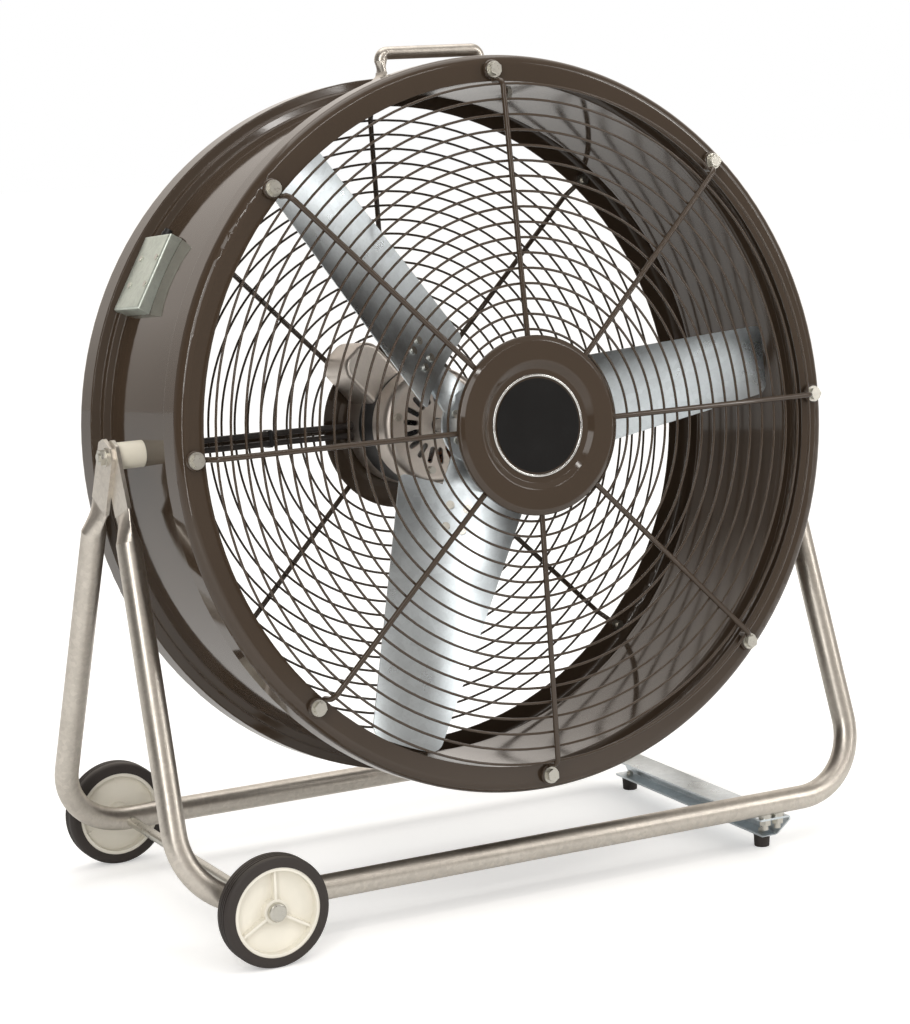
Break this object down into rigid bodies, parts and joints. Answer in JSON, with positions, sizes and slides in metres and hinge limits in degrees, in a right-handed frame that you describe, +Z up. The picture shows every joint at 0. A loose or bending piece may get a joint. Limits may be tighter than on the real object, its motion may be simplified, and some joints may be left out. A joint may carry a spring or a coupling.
{
  "type": "drum fan",
  "caption": "Large drum fan on a wheeled tube stand: tilting steel drum with wire guards, three-blade propeller, motor, handle, two wheels and two rubber feet.",
  "frame": {"origin": "on the floor under the middle of the object's overall box", "axes": "+Z up; the fan's axis runs along Y and blows towards -Y, tilted up 6.8 degrees; wheels at -X, rubber feet at +X"},
  "size_m": [0.9296, 0.4848, 0.9847],
  "materials": {
    "dark_enamel": "gloss dark brown-grey enamel",
    "zinc": "zinc plated and galvanised, satin",
    "cast_alloy": "die-cast, satin",
    "machined_steel": "turned, satin",
    "black_enamel": "satin black enamel",
    "copper": "varnished winding",
    "black_gloss": "gloss",
    "bright_bead": "polished",
    "black_rubber": "matt",
    "black_nylon": "matt",
    "white_nylon": "satin",
    "hub_plastic": "satin moulded plastic",
    "tyre": "matt rubber"
  },
  "bodies": {
    "stand": {"front_tube": "zinc", "rear_tube": "zinc", "foot_bar": "zinc", "bar_studs": "zinc", "bar_spacers": "zinc", "bar_nuts": "zinc", "rubber_feet": "black_rubber", "foot_screws": "zinc", "foot_nuts": "zinc", "axle": "zinc", "axle_washers": "zinc", "push_nuts": "zinc"},
    "drum": {"box_cover": "zinc", "box_posts": "zinc", "box_screws": "zinc", "cable_tie": "black_nylon", "capacitor": "cast_alloy", "capacitor_cover": "cast_alloy", "cord_gland": "black_nylon", "drum_shell": "dark_enamel", "front_disc": "dark_enamel", "front_guard": "dark_enamel", "front_rim": "dark_enamel", "guard_bolts": "zinc", "guard_nuts": "zinc", "handle": "zinc", "handle_bolts": "zinc", "handle_nuts": "zinc", "hub_label": "black_gloss", "label_ring": "bright_bead", "lead_grommets": "black_rubber", "motor_bearings": "machined_steel", "motor_front_bell": "cast_alloy", "motor_leads": "black_rubber", "motor_mount_screws": "zinc", "motor_rear_bell": "cast_alloy", "motor_stator": "black_enamel", "motor_through_bolts": "zinc", "motor_windings": "copper", "rear_disc": "dark_enamel", "rear_guard": "dark_enamel", "rear_rim": "dark_enamel", "trunnion_bolts": "zinc", "trunnion_nuts": "zinc", "trunnion_spacers": "white_nylon", "trunnion_washers": "zinc"},
    "rotor": {"shaft": "machined_steel", "rotor_core": "machined_steel", "propeller_hub": "cast_alloy", "spider": "zinc", "blade_1": "zinc", "blade_2": "zinc", "blade_3": "zinc", "blade_rivets": "zinc", "hub_rivets": "zinc", "set_screw": "machined_steel"},
    "wheel_front": {"tyre_front": "tyre", "wheel_hub_front": "hub_plastic"},
    "wheel_rear": {"tyre_rear": "tyre", "wheel_hub_rear": "hub_plastic"}
  },
  "joints": [
    {"name": "drum_tilt", "type": "hinge", "parent": "stand", "child": "drum", "pos_m": [0, 0, 0.5437], "axis": [1, 0, 0], "range_deg": [-83.2, 96.8]},
    {"name": "rotor_spin", "type": "hinge", "parent": "drum", "child": "rotor", "pos_m": [0, 0, 0.5374], "axis": [0, -0.993, 0.1184], "continuous": true},
    {"name": "wheel_front_spin", "type": "hinge", "parent": "stand", "child": "wheel_front", "pos_m": [-0.3644, -0.2285, 0.0635], "axis": [0, 1, 0], "continuous": true},
    {"name": "wheel_rear_spin", "type": "hinge", "parent": "stand", "child": "wheel_rear", "pos_m": [-0.3644, 0.2285, 0.0635], "axis": [0, 1, 0], "continuous": true}
  ]
}
